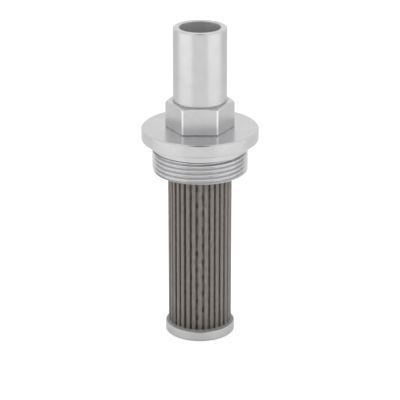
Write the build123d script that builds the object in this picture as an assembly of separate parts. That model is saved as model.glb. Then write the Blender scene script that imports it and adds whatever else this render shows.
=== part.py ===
"""Hydraulic suction filter with a hose spigot, a 1 1/2 inch parallel pipe thread and a pleated mesh element.

The filter stands upright on its bottom cap, with the origin at the centre of the cap's underside and
+Z up its axis. From the bottom: a shallow cap, a perforated core inside a pleated wire mesh, both set
in resin, a flanged head that screws into the tank, and a hexagon adapter with a plain tube for the hose.
"""

import os
from math import cos, pi, radians, sin, tan

from build123d import *

# Bottom cap, a shallow turned cup
cap_diameter = 35.0
cap_height = 5.5
cap_wall = 0.8
cap_floor = 1.0
cap_edge_chamfer = 0.4

# Pleated wire mesh, folded round the core
mesh_to_cap_wall = 0.7
mesh_thickness = 0.45
pleat_depth = 2.86
pleat_count = 32
pleat_tip_width = 2.0
pleat_round = 0.5
pleat_gap = 1.05

# Perforated core, rolled sheet with staggered holes
core_clearance = 0.08
core_sheet = 0.6
core_length = 94.0
hole_columns = 32
hole_side_land = 0.03
hole_height = 3.2
hole_pitch = 8.66
first_hole_height = 5.3
last_hole_margin = 9.0

# Resin at the two ends of the mesh
resin_below_rim = 0.2
resin_rise = 0.7
upper_resin_height = 4.0

# Flanged head with the tank thread, whose grooves are left plain
flange_diameter = 58.2
flange_thickness = 6.35
flange_edge_chamfer = 0.65
thread_diameter = 47.803
thread_end_chamfer = 1.0
thread_section = 15.7
mesh_to_recess_wall = 0.6
recess_depth = 7.9
port_floor = 1.0

# Hexagon adapter with the hose tube
hex_across_flats = 30.0
hex_corner_cut = 0.22
hex_height = 13.85
hex_face_inset = 0.5
hex_chamfer_angle = 23.0
hex_foot_chamfer = 0.7
tube_diameter = 26.7
tube_length = 37.0
tube_mouth_chamfer = 0.45
bore_diameter = 20.0
bore_mouth_chamfer = 0.5
hex_land = 0.75
shank_clearance = 0.05
shank_end_gap = 0.5

# Sealing ring under the hexagon
seal_section = 1.5
seal_pocket_depth = 1.35
seal_clearance = 0.03

# Heights of the faces where the pieces meet, from the underside up
cap_floor_top = cap_floor
core_top = cap_floor_top + core_length
head_bottom = core_top - recess_depth
flange_bottom = head_bottom + thread_section
flange_top = flange_bottom + flange_thickness
hex_top = flange_top + hex_height
tube_top = hex_top + tube_length
resin_edge = cap_height - resin_below_rim
mesh_bottom = resin_edge + resin_rise
mesh_top = core_top - upper_resin_height
port_bottom = core_top + port_floor

# Radii that follow from the sizes above
column_angle = 360.0 / hole_columns
pleat_angle = 360.0 / pleat_count
core_turn = pleat_angle / 2
cap_bore_radius = cap_diameter / 2 - cap_wall
mesh_radius = cap_bore_radius - mesh_to_cap_wall
mesh_root_radius = mesh_radius - pleat_depth
core_corner_radius = mesh_root_radius - core_clearance
core_flat_radius = core_corner_radius * cos(pi / hole_columns)
core_bore_flat_radius = core_flat_radius - core_sheet
core_bore_corner_radius = core_bore_flat_radius / cos(pi / hole_columns)
recess_radius = mesh_radius + mesh_to_recess_wall
thread_radius = thread_diameter / 2
hex_bar_radius = hex_across_flats / 2 / cos(pi / 6) - hex_corner_cut
seal_pocket_width = seal_section + 2 * seal_clearance
shank_radius = hex_across_flats / 2 - hex_land - seal_pocket_width
port_radius = shank_radius + shank_clearance


def turned(*corners):
    """A turned piece: the outline (radius, height) spun about the axis."""
    outline = Polyline(*corners, close=True)
    return revolve(make_face(Plane.XZ * outline), Axis.Z)


def ring_prism(outer, inner, bottom, height):
    """A flat ring between two closed outlines, raised from one height."""
    return Pos(0, 0, bottom) * extrude(outer - inner, height)


def core_polygon(corner_radius):
    """The core's many-sided section, a flat under each column of holes."""
    return RegularPolygon(corner_radius, hole_columns, rotation=core_turn + column_angle / 2)


def polar(radius, offset, angle):
    """A point at a height up a spoke and an offset to its left, for a spoke at that angle."""
    a = radians(angle)
    return (radius * cos(a) - offset * sin(a), radius * sin(a) + offset * cos(a))


def pleat_outline(tip, root, tip_width, root_width, rounding):
    """One surface of the folded mesh: a flat-topped tip on each pleat and a flat root between two."""
    points = []
    for pleat in range(pleat_count):
        spoke = pleat * pleat_angle
        valley = spoke + pleat_angle / 2
        points.append(polar(tip - rounding, -tip_width / 2, spoke))
        points.append(polar(tip, -tip_width / 2 + rounding, spoke))
        points.append(polar(tip, tip_width / 2 - rounding, spoke))
        points.append(polar(tip - rounding, tip_width / 2, spoke))
        points.append(polar(root, -root_width / 2, valley))
        points.append(polar(root, root_width / 2, valley))
    return make_face(Polyline(*points, close=True))


def make_bottom_cap():
    """Shallow turned cup that closes the element."""
    outer = cap_diameter / 2
    return turned(
        (0, 0),
        (outer - cap_edge_chamfer, 0),
        (outer, cap_edge_chamfer),
        (outer, cap_height),
        (cap_bore_radius, cap_height),
        (cap_bore_radius, cap_floor_top),
        (0, cap_floor_top),
    )


def make_perforated_core():
    """Sheet tube with columns of holes, every second column raised by half a pitch."""
    tube = ring_prism(
        core_polygon(core_corner_radius),
        core_polygon(core_bore_corner_radius),
        cap_floor_top,
        core_length,
    )
    # Each hole is a three-sided punch, point up, that stays inside the flat of its column.
    half_height = hole_height / 2
    half_width = core_bore_flat_radius * tan(pi / hole_columns) - hole_side_land
    punch = make_face(
        Polyline((half_height, 0), (-half_height, half_width), (-half_height, -half_width), close=True)
    )
    first = mesh_bottom + first_hole_height
    last = mesh_top - last_hole_margin
    punches = []
    for column in range(hole_columns):
        angle = core_turn + column * column_angle
        outward = Vector(cos(radians(angle)), sin(radians(angle)), 0)
        height = first + (column + 1) % 2 * hole_pitch / 2
        while height <= last:
            start = outward * (core_bore_flat_radius - core_sheet) + Vector(0, 0, height)
            wall = Plane(origin=start, x_dir=(0, 0, 1), z_dir=outward)
            punches.append(extrude(wall * punch, 3 * core_sheet))
            height += hole_pitch
    return tube.cut(*punches)


def make_pleated_mesh():
    """Wire mesh folded into an even star of pleats around the core."""
    gap_at_root = pleat_gap / 2
    outside = pleat_outline(
        mesh_radius, mesh_root_radius + mesh_thickness, pleat_tip_width, gap_at_root, pleat_round
    )
    inside = pleat_outline(
        mesh_radius - mesh_thickness,
        mesh_root_radius,
        pleat_tip_width - 2 * mesh_thickness,
        gap_at_root + 2 * mesh_thickness,
        pleat_round / 2,
    )
    return ring_prism(outside, inside, mesh_bottom, mesh_top - mesh_bottom)


def make_lower_resin():
    """Resin cast in the cap around the core: its top falls from the pleats to the cap's wall."""
    disc = turned(
        (0, cap_floor_top),
        (cap_bore_radius, cap_floor_top),
        (cap_bore_radius, resin_edge),
        (mesh_radius, mesh_bottom),
        (0, mesh_bottom),
    )
    opening = Pos(0, 0, cap_floor_top) * extrude(core_polygon(core_corner_radius), core_length)
    return disc - opening


def make_upper_resin():
    """Resin cast in the head's recess around the top of the core."""
    return ring_prism(
        Circle(recess_radius), core_polygon(core_corner_radius), mesh_top, upper_resin_height
    )


def make_threaded_head():
    """Turned head: flange, tank thread with its shoulder, and a recess for the element below."""
    flange_radius = flange_diameter / 2
    pocket_radius = shank_radius + seal_pocket_width
    bore_radius = bore_diameter / 2
    return turned(
        (recess_radius, head_bottom),
        (thread_radius - thread_end_chamfer, head_bottom),
        (thread_radius, head_bottom + thread_end_chamfer),
        (thread_radius, flange_bottom),
        (flange_radius, flange_bottom),
        (flange_radius, flange_top - flange_edge_chamfer),
        (flange_radius - flange_edge_chamfer, flange_top),
        (pocket_radius, flange_top),
        (pocket_radius, flange_top - seal_pocket_depth),
        (port_radius, flange_top - seal_pocket_depth),
        (port_radius, port_bottom),
        (bore_radius, port_bottom),
        (bore_radius, core_top),
        (recess_radius, core_top),
    )


def make_adapter_seal():
    """Ring squeezed in the pocket between the head, the hexagon and the shank."""
    inner = shank_radius + seal_clearance
    outer = inner + seal_section
    bottom = flange_top - seal_pocket_depth + seal_clearance
    top = flange_top - seal_clearance
    return turned((inner, bottom), (outer, bottom), (outer, top), (inner, top))


def make_hose_adapter():
    """Adapter turned from hexagon bar: shank in the head, hexagon, and plain tube for the hose."""
    shank_bottom = port_bottom + shank_end_gap
    tube_radius = tube_diameter / 2
    bore_radius = bore_diameter / 2
    bar = Pos(0, 0, flange_top) * extrude(
        RegularPolygon(hex_across_flats / 2, 6, major_radius=False) & Circle(hex_bar_radius),
        hex_height,
    )
    bar = chamfer(bar.edges().group_by(Axis.Z)[0], hex_foot_chamfer)
    # The top corners are turned off by a cone that leaves a round face.
    cone_reach = 2 * hex_bar_radius
    face_radius = hex_across_flats / 2 - hex_face_inset
    cone_drop = (cone_reach - face_radius) * tan(radians(hex_chamfer_angle))
    cone = turned(
        (0, flange_top - hex_height),
        (cone_reach, flange_top - hex_height),
        (cone_reach, hex_top - cone_drop),
        (face_radius, hex_top),
        (0, hex_top),
    )
    body = turned(
        (bore_radius, shank_bottom),
        (shank_radius, shank_bottom),
        (shank_radius, flange_top),
        (tube_radius, flange_top),
        (tube_radius, tube_top - tube_mouth_chamfer),
        (tube_radius - tube_mouth_chamfer, tube_top),
        (bore_radius + bore_mouth_chamfer, tube_top),
        (bore_radius, tube_top - bore_mouth_chamfer),
    )
    through_bore = Pos(0, 0, shank_bottom) * extrude(Circle(bore_radius), tube_top - shank_bottom)
    return (bar & cone) - through_bore + body


pieces = {
    "bottom_cap": make_bottom_cap,
    "lower_resin": make_lower_resin,
    "perforated_core": make_perforated_core,
    "pleated_mesh": make_pleated_mesh,
    "upper_resin": make_upper_resin,
    "threaded_head": make_threaded_head,
    "adapter_seal": make_adapter_seal,
    "hose_adapter": make_hose_adapter,
}

os.makedirs("parts", exist_ok=True)
for name, make in pieces.items():
    piece = make()
    export_step(piece, f"parts/{name}.step")
    print(name, round(piece.volume, 1), "mm3")
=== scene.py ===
from math import atan2, cos, exp, pi, radians, sin, tan
from random import Random

import bmesh
import bpy
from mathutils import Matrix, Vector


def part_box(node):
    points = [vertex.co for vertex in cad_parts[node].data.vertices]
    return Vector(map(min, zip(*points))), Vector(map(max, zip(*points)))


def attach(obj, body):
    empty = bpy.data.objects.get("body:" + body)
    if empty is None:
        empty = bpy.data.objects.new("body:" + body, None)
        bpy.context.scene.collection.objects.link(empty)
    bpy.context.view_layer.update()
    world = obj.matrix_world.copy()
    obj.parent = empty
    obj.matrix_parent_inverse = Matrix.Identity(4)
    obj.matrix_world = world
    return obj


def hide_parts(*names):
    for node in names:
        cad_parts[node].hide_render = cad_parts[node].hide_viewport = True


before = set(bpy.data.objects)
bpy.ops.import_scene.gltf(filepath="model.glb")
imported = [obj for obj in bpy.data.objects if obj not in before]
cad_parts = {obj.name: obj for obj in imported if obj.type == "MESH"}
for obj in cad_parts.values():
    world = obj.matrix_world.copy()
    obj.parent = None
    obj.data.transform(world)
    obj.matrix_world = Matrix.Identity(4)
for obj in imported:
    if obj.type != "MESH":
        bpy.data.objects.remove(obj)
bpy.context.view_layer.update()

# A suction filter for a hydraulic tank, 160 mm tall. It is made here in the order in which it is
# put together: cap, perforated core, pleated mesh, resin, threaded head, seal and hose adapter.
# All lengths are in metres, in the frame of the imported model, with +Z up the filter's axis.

MM = 0.001

# Bottom cap
# A shallow cup turned from aluminium bar, with a broken edge at its foot and a thin lip.
# The mesh and its core stand in it, and the resin that is cast around them fills it.
cap_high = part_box("bottom_cap")[1]
cap_radius = cap_high.x
cap_wall = 0.8 * MM
cap_floor = 1.0 * MM
cap_foot_chamfer = 0.4 * MM
cap_lip_chamfer = 0.45 * MM
cap_inner_chamfer = 0.25 * MM
cap_edge_break = 0.08 * MM
turning_steps = 192
weld_reach = 0.001 * MM
bevel_from_degrees = 25
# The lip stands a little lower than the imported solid's, and shows more of the resin inside it.
lip_drop = 0.6 * MM
cap_top = cap_high.z - lip_drop


def draw_outline(name, points):
    """Draw a line of points in edit mode, from one corner to the next."""
    bpy.ops.object.select_all(action="DESELECT")
    bpy.ops.mesh.primitive_plane_add(size=MM, location=points[0])
    piece = bpy.context.active_object
    piece.name = piece.data.name = name
    bpy.ops.object.mode_set(mode="EDIT")
    bpy.ops.mesh.merge(type="CENTER")
    for here, there in zip(points, points[1:]):
        step = [b - a for a, b in zip(here, there)]
        bpy.ops.mesh.extrude_vertices_move(TRANSFORM_OT_translate={"value": step})
    bpy.ops.mesh.select_all(action="SELECT")
    bpy.ops.mesh.remove_doubles(threshold=weld_reach)
    return piece


def apply_modifier(piece, kind, **settings):
    """Add a modifier with its settings, and apply it."""
    bpy.ops.object.select_all(action="DESELECT")
    piece.select_set(True)
    bpy.context.view_layer.objects.active = piece
    modifier = piece.modifiers.new(kind.lower(), kind)
    for setting, value in settings.items():
        setattr(modifier, setting, value)
    bpy.ops.object.modifier_apply(modifier=modifier.name)


def finish_shape(piece, edge_width=0.0, smooth_angle=35):
    """Put the piece's origin at the frame's, round its sharp edges, and shade it smooth."""
    bpy.ops.object.mode_set(mode="OBJECT")
    bpy.ops.object.transform_apply(location=True, rotation=True, scale=True)
    if edge_width:
        apply_modifier(
            piece,
            "BEVEL",
            width=edge_width,
            segments=2,
            limit_method="ANGLE",
            angle_limit=radians(bevel_from_degrees),
        )
    bpy.ops.object.shade_smooth_by_angle(angle=radians(smooth_angle))
    apply_modifier(piece, "WEIGHTED_NORMAL", mode="FACE_AREA", keep_sharp=True)


def turn(name, corners, edge_width=0.0):
    """Turn a closed outline of (radius, height) corners about the filter's axis, as on a lathe."""
    piece = draw_outline(name, [(radius, 0, height) for radius, height in corners])
    bpy.ops.mesh.spin(steps=turning_steps, angle=2 * pi, center=(0, 0, 0), axis=(0, 0, 1))
    bpy.ops.mesh.select_all(action="SELECT")
    bpy.ops.mesh.remove_doubles(threshold=weld_reach)
    bpy.ops.mesh.normals_make_consistent(inside=False)
    finish_shape(piece, edge_width)
    return piece


cap = turn(
    "cap",
    [
        (0, 0),
        (cap_radius - cap_foot_chamfer, 0),
        (cap_radius, cap_foot_chamfer),
        (cap_radius, cap_top - cap_lip_chamfer),
        (cap_radius - cap_lip_chamfer, cap_top),
        (cap_radius - cap_wall + cap_inner_chamfer, cap_top),
        (cap_radius - cap_wall, cap_top - cap_inner_chamfer),
        (cap_radius - cap_wall, cap_floor),
        (0, cap_floor),
    ],
    edge_width=cap_edge_break,
)


def linear(code):
    """A colour written as sRGB hex, as the linear colour that a shader takes."""
    parts = [int(code[i : i + 2], 16) / 255 for i in (0, 2, 4)]
    curve = [c / 12.92 if c <= 0.04045 else ((c + 0.055) / 1.055) ** 2.4 for c in parts]
    return (*curve, 1.0)


def add_node(tree, kind, inputs, **settings):
    """Add a node. Each input is a plain value, or another node's output, which is linked to it."""
    new = tree.nodes.new(kind)
    for setting, value in settings.items():
        setattr(new, setting, value)
    for socket, value in inputs.items():
        if isinstance(value, bpy.types.NodeSocket):
            tree.links.new(value, new.inputs[socket])
        else:
            new.inputs[socket].default_value = value
    return new


def give_material(piece, material):
    """Give the whole piece one material, in place of whatever its cutting left behind."""
    piece.data.materials.clear()
    piece.data.materials.append(material)
    for face in piece.data.polygons:
        face.material_index = 0


# Satin turned aluminium: rings of the tool's feed that follow the axis, and a soft, even sheen.
# The real feed is about 0.1 mm a turn, drawn here at 0.35 mm so that it shows.
feed_mark = 0.35 * MM
cloud_size = 6 * MM
satin = bpy.data.materials.new("satin_turned_aluminium")
satin.use_nodes = True
tree = satin.node_tree
shader = tree.nodes["Principled BSDF"]
shader.inputs["Metallic"].default_value = 1.0
shader.inputs["Anisotropic"].default_value = 0.8
shader.inputs["Anisotropic Rotation"].default_value = 0.25
place = add_node(tree, "ShaderNodeTexCoord", {})
height = add_node(tree, "ShaderNodeSeparateXYZ", {0: place.outputs["Object"]})
flat_place = add_node(
    tree,
    "ShaderNodeVectorMath",
    {0: place.outputs["Object"], 1: (1, 1, 0)},
    operation="MULTIPLY",
)
radius_out = add_node(tree, "ShaderNodeVectorMath", {0: flat_place.outputs[0]}, operation="LENGTH")
ring_place = add_node(
    tree, "ShaderNodeCombineXYZ", {0: radius_out.outputs["Value"], 2: height.outputs["Z"]}
)
rings = add_node(
    tree,
    "ShaderNodeTexNoise",
    {"Vector": ring_place.outputs[0], "Scale": 1 / feed_mark, "Detail": 2.0},
)
clouds = add_node(
    tree,
    "ShaderNodeTexNoise",
    {"Vector": place.outputs["Object"], "Scale": 1 / cloud_size, "Detail": 3.0},
)
gloss = add_node(
    tree, "ShaderNodeMapRange", {0: rings.outputs["Fac"], 1: 0.3, 2: 0.7, 3: 0.30, 4: 0.42}
)
tone = add_node(
    tree,
    "ShaderNodeMix",
    {"Factor": clouds.outputs["Fac"], "A": linear("B7B7B8"), "B": linear("BDBDBE")},
    data_type="RGBA",
)
grooves = add_node(
    tree, "ShaderNodeBump", {"Height": rings.outputs["Fac"], "Distance": 0.004 * MM}
)
tangent = add_node(tree, "ShaderNodeTangent", {}, direction_type="RADIAL", axis="Z")
tree.links.new(tone.outputs["Result"], shader.inputs["Base Color"])
tree.links.new(gloss.outputs["Result"], shader.inputs["Roughness"])
tree.links.new(grooves.outputs["Normal"], shader.inputs["Normal"])
tree.links.new(tangent.outputs["Tangent"], shader.inputs["Tangent"])
rings.name, radius_out.name = "rings", "radius_out"
height.name, tone.name = "height", "tone"
give_material(cap, satin)
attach(cap, "root")
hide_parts("bottom_cap")

# Perforated core
# Steel sheet, punched with round holes in staggered columns and rolled into a tube.
# It carries the mesh against the oil's pull, and its holes show as dark spots between the pleats.
core_low, core_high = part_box("perforated_core")
core_radius = core_high.x
core_sheet = 0.6 * MM
hole_radius = 1.6 * MM
hole_sides = 20
hole_pitch = 8.66 * MM
hole_rows = 9
first_hole = 11.3 * MM
hole_columns = 32
column_angle = 2 * pi / hole_columns


def repeat_round_axis(copies, angle):
    """In edit mode, copy what is selected round the axis, each copy one angle on from the last."""
    for _ in range(copies):
        bpy.ops.mesh.duplicate()
        bpy.ops.transform.rotate(value=angle, orient_axis="Z", center_override=(0, 0, 0))


def cut(piece, tool, operation="DIFFERENCE"):
    """Cut the piece with a tool, or join or trim it, and clear the tool away."""
    apply_modifier(piece, "BOOLEAN", object=tool, operation=operation, solver="MANIFOLD")
    bpy.data.objects.remove(tool)


core = turn(
    "core",
    [
        (core_radius, core_low.z),
        (core_radius, core_high.z),
        (core_radius - core_sheet, core_high.z),
        (core_radius - core_sheet, core_low.z),
        (core_radius, core_low.z),
    ],
)
# Two punches side by side, the second raised by half the pitch: one column, then its neighbour.
punches = []
for column in (0, 1):
    angle = -pi / 2 + (column - 0.5) * column_angle
    lowest_hole = first_hole + column * hole_pitch / 2
    bpy.ops.object.select_all(action="DESELECT")
    bpy.ops.mesh.primitive_cylinder_add(
        vertices=hole_sides,
        radius=hole_radius,
        depth=4 * core_sheet,
        location=(core_radius * cos(angle), core_radius * sin(angle), lowest_hole),
        rotation=(0, pi / 2, angle),
    )
    punch = bpy.context.active_object
    bpy.ops.object.transform_apply(location=True, rotation=True, scale=True)
    apply_modifier(
        punch,
        "ARRAY",
        count=hole_rows,
        use_relative_offset=False,
        use_constant_offset=True,
        constant_offset_displace=(0, 0, hole_pitch),
    )
    punches.append(punch)
for punch in punches:
    punch.select_set(True)
bpy.ops.object.join()
punches = bpy.context.active_object
bpy.ops.object.mode_set(mode="EDIT")
bpy.ops.mesh.select_all(action="SELECT")
repeat_round_axis(hole_columns // 2 - 1, 2 * column_angle)
bpy.ops.object.mode_set(mode="OBJECT")
cut(core, punches)
finish_shape(core)

# Tinned steel sheet: bright and a little mottled outside. Its inner face is painted near black, as
# painted shade for the closed inside of the core.
mottle_size = 3 * MM
bright_skin = 0.3 * MM
steel = bpy.data.materials.new("tinned_steel_sheet")
steel.use_nodes = True
tree = steel.node_tree
shader = tree.nodes["Principled BSDF"]
shader.inputs["Metallic"].default_value = 1.0
place = add_node(tree, "ShaderNodeTexCoord", {})
mottle = add_node(
    tree,
    "ShaderNodeTexNoise",
    {"Vector": place.outputs["Object"], "Scale": 1 / mottle_size, "Detail": 4.0},
)
tone = add_node(
    tree,
    "ShaderNodeMix",
    {"Factor": mottle.outputs["Fac"], "A": linear("A4A29E"), "B": linear("B0AEAA")},
    data_type="RGBA",
)
flat_place = add_node(
    tree,
    "ShaderNodeVectorMath",
    {0: place.outputs["Object"], 1: (1, 1, 0)},
    operation="MULTIPLY",
)
radius_out = add_node(tree, "ShaderNodeVectorMath", {0: flat_place.outputs[0]}, operation="LENGTH")
outside = add_node(
    tree,
    "ShaderNodeMapRange",
    {
        0: radius_out.outputs["Value"],
        1: core_radius - bright_skin - 0.1 * MM,
        2: core_radius - bright_skin,
    },
)
# Painted shade: inward of the outer skin, the sheet is given a near-black colour.
painted_shade_inside = add_node(
    tree,
    "ShaderNodeMix",
    {"Factor": outside.outputs["Result"], "A": linear("35332F"), "B": tone.outputs["Result"]},
    data_type="RGBA",
)
gloss = add_node(tree, "ShaderNodeMapRange", {0: mottle.outputs["Fac"], 3: 0.22, 4: 0.32})
tree.links.new(painted_shade_inside.outputs["Result"], shader.inputs["Base Color"])
tree.links.new(gloss.outputs["Result"], shader.inputs["Roughness"])
give_material(core, steel)
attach(core, "root")
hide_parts("perforated_core")

# Pleated mesh
# One sheet of stainless wire cloth, folded into 32 pleats and wrapped round the core.
# The folds are pressed by hand tools, so no two tips are quite alike. Both ends run into the resin.
mesh_low, mesh_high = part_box("pleated_mesh")
pleat_count = 32
pleat_angle = 2 * pi / pleat_count
mesh_thickness = 0.12 * MM
tip_radius = mesh_high.x
core_to_cloth = 0.5 * MM
root_radius = core_radius + core_to_cloth
tip_width = 2.2 * MM
root_gap = 1.3 * MM
fold_rounding = 0.7 * MM
depth_in_resin = 1.5 * MM
stretch_reach = 0.6 * MM
mesh_levels = 6
tip_shift_degrees = 0.5
tip_lean_degrees = 0.35
least_pull = 0.985


def spoke_point(radius, offset, turn_angle):
    """A point on a spoke that turns round the axis, moved sideways by an offset."""
    angle = turn_angle - pi / 2
    return (
        radius * cos(angle) - offset * sin(angle),
        radius * sin(angle) + offset * cos(angle),
        mesh_low.z - depth_in_resin,
    )


def select_points(piece, wanted):
    """In edit mode, select exactly the points that are wanted."""
    bpy.ops.mesh.select_all(action="DESELECT")
    drawing = bmesh.from_edit_mesh(piece.data)
    for point in drawing.verts:
        point.select = wanted(point.co)
    drawing.select_flush(True)
    bmesh.update_edit_mesh(piece.data)


# One fold, from the middle of one valley to the middle of the next, with its corners rounded.
wire_cloth = draw_outline(
    "wire_cloth",
    [
        spoke_point(root_radius, 0, -pleat_angle / 2),
        spoke_point(root_radius, root_gap / 2, -pleat_angle / 2),
        spoke_point(tip_radius, -tip_width / 2, 0),
        spoke_point(tip_radius, 0, 0),
        spoke_point(tip_radius, tip_width / 2, 0),
        spoke_point(root_radius, -root_gap / 2, pleat_angle / 2),
        spoke_point(root_radius, 0, pleat_angle / 2),
    ],
)
bpy.ops.object.mode_set(mode="OBJECT")
bpy.ops.object.transform_apply(location=True, rotation=True, scale=True)
bpy.ops.object.mode_set(mode="EDIT")
tip_middle = 0.1 * MM
fold_end = pleat_angle / 2 - 0.01
select_points(
    wire_cloth, lambda co: abs(co.x) > tip_middle and abs(atan2(co.x, -co.y)) < fold_end
)
bpy.ops.mesh.bevel(offset=fold_rounding, segments=4, affect="VERTICES", clamp_overlap=True)
bpy.ops.mesh.select_all(action="SELECT")
repeat_round_axis(pleat_count - 1, pleat_angle)
bpy.ops.mesh.select_all(action="SELECT")
bpy.ops.mesh.remove_doubles(threshold=10 * weld_reach)

# Each point keeps how far along the cloth it lies, which the weave is drawn from, and how far the
# cloth is stretched there: most on the core, where the folding tool pulls the wires apart.
drawing = bmesh.from_edit_mesh(wire_cloth.data)
along_cloth = drawing.verts.layers.float.new("along_cloth")
stretched = drawing.verts.layers.float.new("stretched")
drawing.verts.ensure_lookup_table()
point = max(drawing.verts, key=lambda v: (v.co.y, v.co.x))
edge, distance, walked = point.link_edges[0], 0.0, set()
while point not in walked:
    walked.add(point)
    point[along_cloth] = distance
    point[stretched] = max(0.0, 1.0 - (point.co.xy.length - root_radius) / stretch_reach)
    distance += edge.calc_length()
    point = edge.other_vert(point)
    edge = next(e for e in point.link_edges if e is not edge)
bmesh.update_edit_mesh(wire_cloth.data)

# The cloth is drawn up in levels, and the tips lean a little, each its own way.
level_height = (mesh_high.z - mesh_low.z + 2 * depth_in_resin) / mesh_levels
bpy.ops.mesh.select_all(action="SELECT")
for _ in range(mesh_levels):
    bpy.ops.mesh.extrude_edges_move(TRANSFORM_OT_translate={"value": (0, 0, level_height)})
draws = Random(7)
middle_radius = (tip_radius + root_radius) / 2
for pleat in range(pleat_count):
    spoke = pleat * pleat_angle
    shift = radians(draws.uniform(-tip_shift_degrees, tip_shift_degrees))
    lean = radians(draws.uniform(-tip_lean_degrees, tip_lean_degrees))
    pull = draws.uniform(least_pull, 1.0)

    def on_tip(co):
        away = (atan2(co.x, -co.y) - spoke + pi) % (2 * pi) - pi
        return co.xy.length > middle_radius and abs(away) < pleat_angle / 2

    for level in range(mesh_levels + 1):
        level_z = mesh_low.z - depth_in_resin + level * level_height
        select_points(wire_cloth, lambda co: abs(co.z - level_z) < level_height / 2 and on_tip(co))
        turned_by = shift + lean * (level / mesh_levels - 0.5)
        bpy.ops.transform.rotate(value=turned_by, orient_axis="Z", center_override=(0, 0, 0))
        bpy.ops.transform.resize(value=(pull, pull, 1), center_override=(0, 0, 0))
bpy.ops.mesh.select_all(action="SELECT")
bpy.ops.mesh.normals_make_consistent(inside=False)
finish_shape(wire_cloth, smooth_angle=60)
# The wall is given inwards, so that the tips keep their radius.
apply_modifier(wire_cloth, "SOLIDIFY", thickness=mesh_thickness, offset=-1.0)

# Stainless wire cloth: bright wires woven over and under, which light and the core show through.
# The wires are about 0.2 mm apart, as in a suction strainer of some 125 microns.
weave_pitch = 0.2 * MM
stain_size = 5 * MM
thinning = -0.4
cloth = bpy.data.materials.new("woven_stainless_wire")
cloth.use_nodes = True
tree = cloth.node_tree
shader = tree.nodes["Principled BSDF"]
shader.inputs["Metallic"].default_value = 0.35
shader.inputs["Roughness"].default_value = 0.5
place = add_node(tree, "ShaderNodeTexCoord", {})
height = add_node(tree, "ShaderNodeSeparateXYZ", {0: place.outputs["Object"]})
walk = add_node(tree, "ShaderNodeAttribute", {}, attribute_name="along_cloth")
turns = 2 * pi / weave_pitch
ridges = []
for run in (walk.outputs["Fac"], height.outputs["Z"]):
    phase = add_node(tree, "ShaderNodeMath", {0: run, 1: turns}, operation="MULTIPLY")
    ridges.append(add_node(tree, "ShaderNodeMath", {0: phase.outputs[0]}, operation="SINE"))
warp, weft = ridges
wires = add_node(
    tree, "ShaderNodeMath", {0: warp.outputs[0], 1: weft.outputs[0]}, operation="MAXIMUM"
)
pulled = add_node(tree, "ShaderNodeAttribute", {}, attribute_name="stretched")
thinned = add_node(
    tree,
    "ShaderNodeMath",
    {0: pulled.outputs["Fac"], 1: thinning, 2: wires.outputs[0]},
    operation="MULTIPLY_ADD",
)
solid = add_node(tree, "ShaderNodeMapRange", {0: thinned.outputs[0], 1: 0.3, 2: 0.6})
# Past its first layer the cloth lets nothing through, so the inside of the core stays dark.
path = add_node(tree, "ShaderNodeLightPath", {})
far = add_node(
    tree, "ShaderNodeMath", {0: path.outputs["Transparent Depth"], 1: 1.5}, operation="GREATER_THAN"
)
behind = add_node(
    tree,
    "ShaderNodeMath",
    {0: far.outputs[0], 1: path.outputs["Is Camera Ray"]},
    operation="MULTIPLY",
)
covered = add_node(
    tree,
    "ShaderNodeMath",
    {0: solid.outputs["Result"], 1: behind.outputs[0]},
    operation="MAXIMUM",
)
stain = add_node(
    tree,
    "ShaderNodeTexNoise",
    {"Vector": place.outputs["Object"], "Scale": 1 / stain_size, "Detail": 3.0},
)
tone = add_node(
    tree,
    "ShaderNodeMix",
    {"Factor": stain.outputs["Fac"], "A": linear("99938D"), "B": linear("A8A19B")},
    data_type="RGBA",
)
relief = add_node(tree, "ShaderNodeBump", {"Height": wires.outputs[0], "Distance": 0.02 * MM})
tree.links.new(tone.outputs["Result"], shader.inputs["Base Color"])
tree.links.new(covered.outputs[0], shader.inputs["Alpha"])
tree.links.new(relief.outputs["Normal"], shader.inputs["Normal"])
give_material(wire_cloth, cloth)
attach(wire_cloth, "root")
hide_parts("pleated_mesh")

# Lower resin
# Epoxy cast into the cap round the core and the feet of the pleats.
# It creeps up the cloth before it sets, and falls from there to the inside of the cap's lip.
resin_low, resin_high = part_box("lower_resin")
resin_radius = resin_high.x
resin_below_lip = 0.45 * MM
resin_edge = cap_top - resin_below_lip
resin_fall = 0.6 * MM
resin_top = resin_edge + resin_fall
creep_height = 0.95 * MM
creep_reach = 0.5 * MM
resin_rings = 14
core_to_resin = 0.02 * MM
inner_radius = core_radius + core_to_resin
ring_step = (resin_radius - inner_radius) / resin_rings
resin = turn(
    "resin",
    [(inner_radius, resin_low.z), (resin_radius, resin_low.z)]
    + [(resin_radius - ring * ring_step, resin_top) for ring in range(resin_rings + 1)]
    + [(inner_radius, resin_low.z)],
)
for point in resin.data.vertices:
    if point.co.z > resin_edge:
        nearest = wire_cloth.closest_point_on_mesh(point.co)[1]
        to_wall = resin_radius - point.co.xy.length
        to_cloth = (nearest - point.co).length
        fall = resin_fall * exp(-2 * to_wall / creep_reach)
        point.co.z += creep_height * exp(-to_cloth / creep_reach) - fall
finish_shape(resin, smooth_angle=60)

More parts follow.
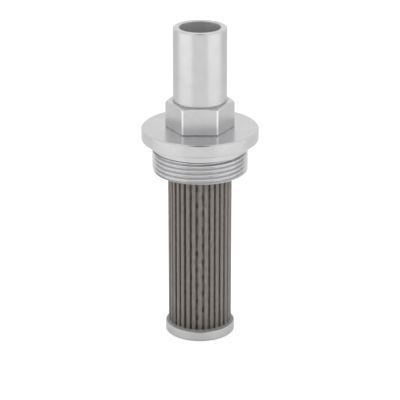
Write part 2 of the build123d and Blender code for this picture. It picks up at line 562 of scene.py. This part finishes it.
# Filled epoxy: a warm grey, cast, with a wet shine and small uneven patches.
patch_size = 2.5 * MM
epoxy = bpy.data.materials.new("cast_epoxy")
epoxy.use_nodes = True
tree = epoxy.node_tree
shader = tree.nodes["Principled BSDF"]
shader.inputs["IOR"].default_value = 1.5
place = add_node(tree, "ShaderNodeTexCoord", {})
patches = add_node(
    tree,
    "ShaderNodeTexNoise",
    {"Vector": place.outputs["Object"], "Scale": 1 / patch_size, "Detail": 4.0},
)
tone = add_node(
    tree,
    "ShaderNodeMix",
    {"Factor": patches.outputs["Fac"], "A": linear("767470"), "B": linear("888682")},
    data_type="RGBA",
)
gloss = add_node(tree, "ShaderNodeMapRange", {0: patches.outputs["Fac"], 3: 0.25, 4: 0.4})
waves = add_node(tree, "ShaderNodeBump", {"Height": patches.outputs["Fac"], "Distance": 0.1 * MM})
tree.links.new(tone.outputs["Result"], shader.inputs["Base Color"])
tree.links.new(gloss.outputs["Result"], shader.inputs["Roughness"])
tree.links.new(waves.outputs["Normal"], shader.inputs["Normal"])
give_material(resin, epoxy)
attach(resin, "root")
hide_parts("lower_resin")

# Upper resin
# The same epoxy, cast into the head's recess round the upper end of the core and the mesh.
# Nothing shows it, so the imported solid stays.
upper_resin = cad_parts["upper_resin"]
give_material(upper_resin, epoxy)

# Threaded head
# Turned from aluminium bar: a flange, a plain shoulder and a narrow relief above the tank thread.
# The thread is cut last: right-hand, 11 turns to the inch, and running out in the relief.
head_low, head_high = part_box("threaded_head")
flange_radius = head_high.y
flange_thickness = 6.35 * MM
flange_bottom = head_high.z - flange_thickness
flange_edge_chamfer = 0.65 * MM
under_chamfer = 0.4 * MM
shoulder_radius = 23.85 * MM
shoulder_height = 4.4 * MM
shoulder_bottom = flange_bottom - shoulder_height
shoulder_chamfer = 0.25 * MM
relief_width = 0.5 * MM
relief_bottom = shoulder_bottom - relief_width
thread_pitch = 25.4 * MM / 11
thread_radius = 47.803 / 2 * MM
thread_depth = 1.479 * MM
thread_root = thread_radius - thread_depth
crest_flat = 0.15 * MM
crest_radius = thread_radius - crest_flat
relief_past_root = 0.08 * MM
relief_radius = thread_root - relief_past_root
end_chamfer = 0.2 * MM
recess_clearance = 0.6 * MM
recess_radius = tip_radius + recess_clearance
recess_top = core_high.z
port_radius = 12.74 * MM
port_floor = 1.0 * MM
port_bottom = recess_top + port_floor
bore_radius = 10.0 * MM
pocket_radius = 14.25 * MM
pocket_depth = 1.35 * MM
head_edge_break = 0.1 * MM
head = turn(
    "head",
    [
        (recess_radius, head_low.z),
        (crest_radius - end_chamfer, head_low.z),
        (crest_radius, head_low.z + end_chamfer),
        (crest_radius, relief_bottom),
        (relief_radius, relief_bottom),
        (relief_radius, shoulder_bottom),
        (shoulder_radius - shoulder_chamfer, shoulder_bottom),
        (shoulder_radius, shoulder_bottom + shoulder_chamfer),
        (shoulder_radius, flange_bottom),
        (flange_radius - under_chamfer, flange_bottom),
        (flange_radius, flange_bottom + under_chamfer),
        (flange_radius, head_high.z - flange_edge_chamfer),
        (flange_radius - flange_edge_chamfer, head_high.z),
        (pocket_radius, head_high.z),
        (pocket_radius, head_high.z - pocket_depth),
        (port_radius, head_high.z - pocket_depth),
        (port_radius, port_bottom),
        (bore_radius, port_bottom),
        (bore_radius, recess_top),
        (recess_radius, recess_top),
        (recess_radius, head_low.z),
    ],
    edge_width=head_edge_break,
)
# The thread tool's shape: sloping flanks and a round nose, and straight again outside the crests.
flank_angle = radians(27.5)
nose_radius = 0.1373 * thread_pitch
nose_sweep_degrees = 125
nose_steps = 4
flank_origin = thread_root - (nose_radius / sin(flank_angle) - nose_radius)
half_groove = (crest_radius - flank_origin) * tan(flank_angle)
tool_back = thread_radius + 1.0 * MM
nose = []
for step in range(nose_steps + 1):
    angle = radians(-nose_sweep_degrees / 2 + nose_sweep_degrees * step / nose_steps)
    nose.append((thread_root + nose_radius * (1 - cos(angle)), 0, nose_radius * sin(angle)))
first_crest_below_flange = 6.5 * MM
turns_below = 6
groove_at_front = flange_bottom - first_crest_below_flange + thread_pitch / 2
groove_start = groove_at_front - turns_below * thread_pitch
thread_tool = draw_outline(
    "thread_tool",
    [(tool_back, 0, -half_groove), (crest_radius, 0, -half_groove)]
    + nose
    + [(crest_radius, 0, half_groove), (tool_back, 0, half_groove), (tool_back, 0, -half_groove)],
)
bpy.ops.transform.rotate(value=pi / 2, orient_axis="Z", center_override=(0, 0, 0))
bpy.ops.transform.translate(value=(0, 0, groove_start))
bpy.ops.object.mode_set(mode="OBJECT")
bpy.ops.object.transform_apply(location=True, rotation=True, scale=True)
apply_modifier(
    thread_tool,
    "SCREW",
    angle=2 * pi,
    screw_offset=thread_pitch,
    iterations=turns_below + 1,
    steps=turning_steps,
    render_steps=turning_steps,
    use_merge_vertices=True,
)
bpy.ops.object.mode_set(mode="EDIT")
bpy.ops.mesh.select_all(action="SELECT")
bpy.ops.mesh.fill_holes(sides=0)
bpy.ops.mesh.select_all(action="SELECT")
bpy.ops.mesh.normals_make_consistent(inside=False)
bpy.ops.object.mode_set(mode="OBJECT")
# The tool's path is trimmed at the relief's upper wall, so it leaves the shoulder whole.
block_size = 100 * MM
block_bottom = shoulder_bottom - 0.02 * MM
bpy.ops.object.select_all(action="DESELECT")
bpy.ops.mesh.primitive_cube_add(size=block_size, location=(0, 0, block_bottom + block_size / 2))
above_relief = bpy.context.active_object
bpy.ops.object.transform_apply(location=True, rotation=True, scale=True)
cut(thread_tool, above_relief)
cut(head, thread_tool)
# The cut leaves slivers in the thread, which are merged so that the light runs evenly along it.
sliver = 0.02 * MM
outside_recess = recess_radius + 0.1 * MM
bpy.ops.object.mode_set(mode="EDIT")
select_points(head, lambda co: co.z < shoulder_bottom and co.xy.length > outside_recess)
bpy.ops.mesh.remove_doubles(threshold=sliver)
bpy.ops.mesh.dissolve_degenerate(threshold=sliver)
bpy.ops.mesh.dissolve_limited(angle_limit=radians(0.6))
finish_shape(head)

# Turned aluminium with a finer cut: nearly a mirror along the tool's rings, and blurred across
# them. The skin inside the drilled bore is duller. The hexagon's corners, which stand out past
# its flats, get a painted highlight: a near-white colour for the light they catch.
bore_skin = bore_radius + 0.3 * MM
bore_dullness = 0.45
# Where the painted highlight on the hexagon's corners begins, out from the axis and above the
# flange.
corner_highlight_from = 16.93 * MM
corner_highlight_above = head_high.z + 0.2 * MM
bright = satin.copy()
bright.name = "bright_turned_aluminium"
tree = bright.node_tree
shader = tree.nodes["Principled BSDF"]
rings = tree.nodes["rings"]
radius_out = tree.nodes["radius_out"]
height = tree.nodes["height"]
tone = tree.nodes["tone"]
tone.inputs["A"].default_value = linear("BFBFC0")
tone.inputs["B"].default_value = linear("CCCCCD")
gloss = add_node(
    tree, "ShaderNodeMapRange", {0: rings.outputs["Fac"], 1: 0.3, 2: 0.7, 3: 0.18, 4: 0.26}
)
in_bore = add_node(
    tree,
    "ShaderNodeMapRange",
    {0: radius_out.outputs["Value"], 1: bore_skin, 2: bore_skin + 0.1 * MM, 3: 1.0, 4: 0.0},
)
drilled = add_node(
    tree,
    "ShaderNodeMath",
    {0: in_bore.outputs["Result"], 1: bore_dullness, 2: gloss.outputs["Result"]},
    operation="MULTIPLY_ADD",
)
duller = add_node(
    tree,
    "ShaderNodeMix",
    {"Factor": in_bore.outputs["Result"], "A": tone.outputs["Result"], "B": linear("C0C0C1")},
    data_type="RGBA",
)
above_flange = add_node(
    tree,
    "ShaderNodeMapRange",
    {0: height.outputs["Z"], 1: corner_highlight_above, 2: corner_highlight_above + 0.4 * MM},
)
at_corner = add_node(
    tree,
    "ShaderNodeMapRange",
    {0: radius_out.outputs["Value"], 1: corner_highlight_from, 2: corner_highlight_from + 0.12 * MM},
)
corner_highlight_mask = add_node(
    tree,
    "ShaderNodeMath",
    {0: above_flange.outputs["Result"], 1: at_corner.outputs["Result"]},
    operation="MULTIPLY",
)
# Painted highlight: the hexagon's corners are given a near-white colour instead of the metal's own.
painted_corner_highlight = add_node(
    tree,
    "ShaderNodeMix",
    {"Factor": corner_highlight_mask.outputs[0], "A": duller.outputs["Result"], "B": linear("E0E0E1")},
    data_type="RGBA",
)
tree.links.new(painted_corner_highlight.outputs["Result"], shader.inputs["Base Color"])
tree.links.new(drilled.outputs[0], shader.inputs["Roughness"])
give_material(head, bright)
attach(head, "root")
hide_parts("threaded_head")

# Adapter seal
# A ring of moulded nitrile rubber, squeezed into the pocket under the hexagon, where it keeps
# the pump from drawing air. Nothing shows it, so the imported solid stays.
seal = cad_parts["adapter_seal"]
bloom_size = 2 * MM

# Moulded rubber: near black and dull, with a faint grey bloom.
rubber = bpy.data.materials.new("nitrile_rubber")
rubber.use_nodes = True
tree = rubber.node_tree
shader = tree.nodes["Principled BSDF"]
place = add_node(tree, "ShaderNodeTexCoord", {})
bloom = add_node(
    tree,
    "ShaderNodeTexNoise",
    {"Vector": place.outputs["Object"], "Scale": 1 / bloom_size, "Detail": 2.0},
)
tone = add_node(
    tree,
    "ShaderNodeMix",
    {"Factor": bloom.outputs["Fac"], "A": linear("1C1C1C"), "B": linear("2A2A2A")},
    data_type="RGBA",
)
tree.links.new(tone.outputs["Result"], shader.inputs["Base Color"])
shader.inputs["Roughness"].default_value = 0.6
give_material(seal, rubber)

# Hose adapter
# Turned from hexagon bar: a shank that screws into the head, the hexagon for the spanner,
# and a plain tube that the suction hose is pushed over and clamped on.
adapter_low, adapter_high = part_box("hose_adapter")
hex_bottom = head_high.z
hex_height = 13.85 * MM
hex_top = hex_bottom + hex_height
hex_apothem = 15.0 * MM
hex_corner_radius = hex_apothem / cos(pi / 6)
corner_turned_off = 0.22 * MM
face_inset = 0.5 * MM
foot_inset = 0.3 * MM
foot_height = 0.75 * MM
tube_radius = 13.35 * MM
tube_mouth_chamfer = 0.5 * MM
bore_mouth_chamfer = 0.5 * MM
shank_radius = 12.69 * MM
shank_lead = 1.2 * MM
body_overlap = 1 * MM
core_of_hex = 12.0 * MM
undercut_radius = 13.65 * MM
undercut_depth = 0.25 * MM
cone_angle_degrees = 23
adapter_edge_break = 0.12 * MM
bpy.ops.object.select_all(action="DESELECT")
bpy.ops.mesh.primitive_cylinder_add(
    vertices=6,
    radius=hex_corner_radius,
    depth=hex_height - foot_height,
    location=(0, 0, hex_bottom + (hex_height + foot_height) / 2),
    rotation=(0, 0, pi / 6),
)
hexagon = bpy.context.active_object
hexagon.name = hexagon.data.name = "hexagon"
bpy.ops.object.transform_apply(location=True, rotation=True, scale=True)
bpy.ops.object.mode_set(mode="EDIT")
select_points(hexagon, lambda co: co.z < hex_bottom + hex_height / 2)
bpy.ops.mesh.extrude_region_move(TRANSFORM_OT_translate={"value": (0, 0, -foot_height)})
foot_scale = (hex_apothem - foot_inset) / hex_apothem
bpy.ops.transform.resize(value=(foot_scale, foot_scale, 1), center_override=(0, 0, 0))
bpy.ops.mesh.select_all(action="SELECT")
bpy.ops.mesh.normals_make_consistent(inside=False)
bpy.ops.object.mode_set(mode="OBJECT")
# The lathe leaves a cone on the hexagon's corners, and a shallow undercut where the tube begins.
cone_slope = tan(radians(cone_angle_degrees))
face_radius = hex_apothem - face_inset
turned_radius = hex_corner_radius - corner_turned_off
corner_blank = turn(
    "corner_blank",
    [
        (core_of_hex, hex_bottom - body_overlap),
        (turned_radius, hex_bottom - body_overlap),
        (turned_radius, hex_top - (turned_radius - face_radius) * cone_slope),
        (face_radius, hex_top),
        (undercut_radius, hex_top),
        (undercut_radius, hex_top - undercut_depth),
        (core_of_hex, hex_top - undercut_depth),
        (core_of_hex, hex_bottom - body_overlap),
    ],
)
cut(hexagon, corner_blank, "INTERSECT")
tube = turn(
    "hose_adapter_body",
    [
        (bore_radius, adapter_low.z),
        (shank_radius - shank_lead, adapter_low.z),
        (shank_radius, adapter_low.z + shank_lead),
        (shank_radius, hex_bottom + body_overlap),
        (tube_radius, hex_bottom + body_overlap),
        (tube_radius, adapter_high.z - tube_mouth_chamfer),
        (tube_radius - tube_mouth_chamfer, adapter_high.z),
        (bore_radius + bore_mouth_chamfer, adapter_high.z),
        (bore_radius, adapter_high.z - bore_mouth_chamfer),
        (bore_radius, adapter_low.z),
    ],
)
cut(tube, hexagon, "UNION")
bpy.ops.object.mode_set(mode="EDIT")
bpy.ops.mesh.select_all(action="SELECT")
bpy.ops.mesh.remove_doubles(threshold=10 * weld_reach)
bpy.ops.mesh.dissolve_degenerate(threshold=10 * weld_reach)
finish_shape(tube, edge_width=adapter_edge_break)
tube.name = tube.data.name = "adapter"
give_material(tube, bright)
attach(tube, "root")
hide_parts("hose_adapter")

# Studio
# A white table and backdrop, two long, low soft boxes beside the filter and a soft light overhead.
# The boxes stay low, so that no flat face turned up mirrors one and burns out.
bpy.ops.object.select_all(action="DESELECT")
bpy.ops.mesh.primitive_circle_add(vertices=96, radius=4.0, fill_type="NGON", location=(0, 0, 0))
table = bpy.context.active_object
table.name = table.data.name = "table"
paper = bpy.data.materials.new("white_paper")
paper.use_nodes = True
tree = paper.node_tree
shader = tree.nodes["Principled BSDF"]
shader.inputs["Base Color"].default_value = linear("F4F4F4")
shader.inputs["Roughness"].default_value = 0.9
shader.inputs["Specular IOR Level"].default_value = 0.0
path = add_node(tree, "ShaderNodeLightPath", {})
seen = add_node(
    tree,
    "ShaderNodeMath",
    {0: path.outputs["Is Camera Ray"], 1: path.outputs["Is Transmission Ray"]},
    operation="MAXIMUM",
)
place = add_node(tree, "ShaderNodeTexCoord", {})
depth = add_node(tree, "ShaderNodeSeparateXYZ", {0: place.outputs["Object"]})
# The metal mirrors a table that glows for mirrored rays only, a painted pool of light: bright in
# front, dimmer behind and far out, with a painted shadow where the cap shades it. The camera sees a
# glow on top of the lamps' light, so that the table is white.
bright_front, dim_behind, dim_far_out = 0.4, 0.12, 0.78
glow_near, glow_far = 0.45, 0.8
shade_width = 2.5 * MM
falloff = add_node(
    tree,
    "ShaderNodeMapRange",
    {0: depth.outputs["Y"], 1: -0.1, 2: 0.35, 3: bright_front, 4: dim_behind},
)
from_axis = add_node(tree, "ShaderNodeVectorMath", {0: place.outputs["Object"]}, operation="LENGTH")
shade = add_node(
    tree,
    "ShaderNodeMapRange",
    {0: from_axis.outputs["Value"], 1: cap_radius, 2: cap_radius + shade_width},
)
edge = add_node(
    tree,
    "ShaderNodeMapRange",
    {0: from_axis.outputs["Value"], 1: 0.15, 2: 0.27, 3: 1.0, 4: dim_far_out},
)
lit = add_node(
    tree,
    "ShaderNodeMath",
    {0: shade.outputs["Result"], 1: edge.outputs["Result"]},
    operation="MULTIPLY",
)
shaded = add_node(
    tree, "ShaderNodeMath", {0: falloff.outputs["Result"], 1: lit.outputs[0]}, operation="MULTIPLY"
)
in_metal = add_node(
    tree,
    "ShaderNodeMath",
    {0: path.outputs["Is Glossy Ray"], 1: shaded.outputs[0]},
    operation="MULTIPLY",
)
backdrop = add_node(
    tree,
    "ShaderNodeMapRange",
    {0: from_axis.outputs["Value"], 1: 0.25, 2: 0.8, 3: glow_near, 4: glow_far},
)
glow = add_node(
    tree,
    "ShaderNodeMath",
    {0: seen.outputs[0], 1: backdrop.outputs["Result"], 2: in_metal.outputs[0]},
    operation="MULTIPLY_ADD",
)
shader.inputs["Emission Color"].default_value = linear("FFFFFF")
tree.links.new(glow.outputs[0], shader.inputs["Emission Strength"])
give_material(table, paper)

world = bpy.data.worlds.new("white_tent")
bpy.context.scene.world = world
world.use_nodes = True
tree = world.node_tree
background = tree.nodes["Background"]
path = add_node(tree, "ShaderNodeLightPath", {})
seen = add_node(
    tree,
    "ShaderNodeMath",
    {0: path.outputs["Is Camera Ray"], 1: path.outputs["Is Transmission Ray"]},
    operation="MAXIMUM",
)
way = add_node(tree, "ShaderNodeTexCoord", {})
# The metal mirrors an even white tent, but for a dark opening high in front, whose soft edge lies
# between two cosines of the angle from its middle.
tent_light, tent_mirrored, opening_mirrored = 0.74, 1.02, 0.12
opening_outside, opening_inside = 0.955, 0.992
opening_tilt = radians(67.5)
toward_opening = (0, -cos(opening_tilt), sin(opening_tilt))
facing = add_node(
    tree,
    "ShaderNodeVectorMath",
    {0: way.outputs["Generated"], 1: toward_opening},
    operation="DOT_PRODUCT",
)
tent_opening = add_node(
    tree,
    "ShaderNodeMapRange",
    {
        0: facing.outputs["Value"],
        1: opening_outside,
        2: opening_inside,
        3: tent_mirrored,
        4: opening_mirrored,
    },
)
in_metal = add_node(
    tree,
    "ShaderNodeMix",
    {
        "Factor": path.outputs["Is Glossy Ray"],
        "A": tent_light,
        "B": tent_opening.outputs["Result"],
    },
    data_type="FLOAT",
)
strength = add_node(
    tree,
    "ShaderNodeMix",
    {"Factor": seen.outputs[0], "A": in_metal.outputs["Result"], "B": 1.0},
    data_type="FLOAT",
)
tree.links.new(strength.outputs["Result"], background.inputs["Strength"])
background.inputs["Color"].default_value = linear("FFFFFF")

# Each soft box's place, its width and height, and its power in watts.
soft_boxes = {
    "left_box": ((-0.75, -0.35, 0.12), (1.05, 0.22), 0.93),
    "right_box": ((0.75, -0.35, 0.12), (1.05, 0.22), 0.88),
    "top_box": ((0.0, 0.25, 0.95), (0.9, 0.6), 1.0),
}
aim = (adapter_high + adapter_low) / 2
aim.x = aim.y = 0
for name, (location, size, power) in soft_boxes.items():
    lamp = bpy.data.lights.new(name, "AREA")
    lamp.shape = "RECTANGLE"
    lamp.size, lamp.size_y = size
    lamp.energy = power
    lamp_object = bpy.data.objects.new(name, lamp)
    bpy.context.scene.collection.objects.link(lamp_object)
    lamp_object.location = location
    lamp_object.rotation_euler = (aim - lamp_object.location).to_track_quat("-Z", "Y").to_euler()

# Camera: in front of the filter and above it, turned down to about its middle and not rolled.
camera_distance = 0.85
camera_height = 0.40287
camera_pitch = radians(21.384)
camera_lens = 163.9
camera_sensor_width = 36
camera = bpy.data.cameras.new("camera")
camera.lens = camera_lens
camera.sensor_width = camera_sensor_width
camera_object = bpy.data.objects.new("camera", camera)
bpy.context.scene.collection.objects.link(camera_object)
camera_object.location = (0, -camera_distance, camera_height)
camera_object.rotation_euler = (pi / 2 - camera_pitch, 0, 0)
bpy.context.scene.camera = camera_object
bpy.context.scene.view_settings.view_transform = "Standard"
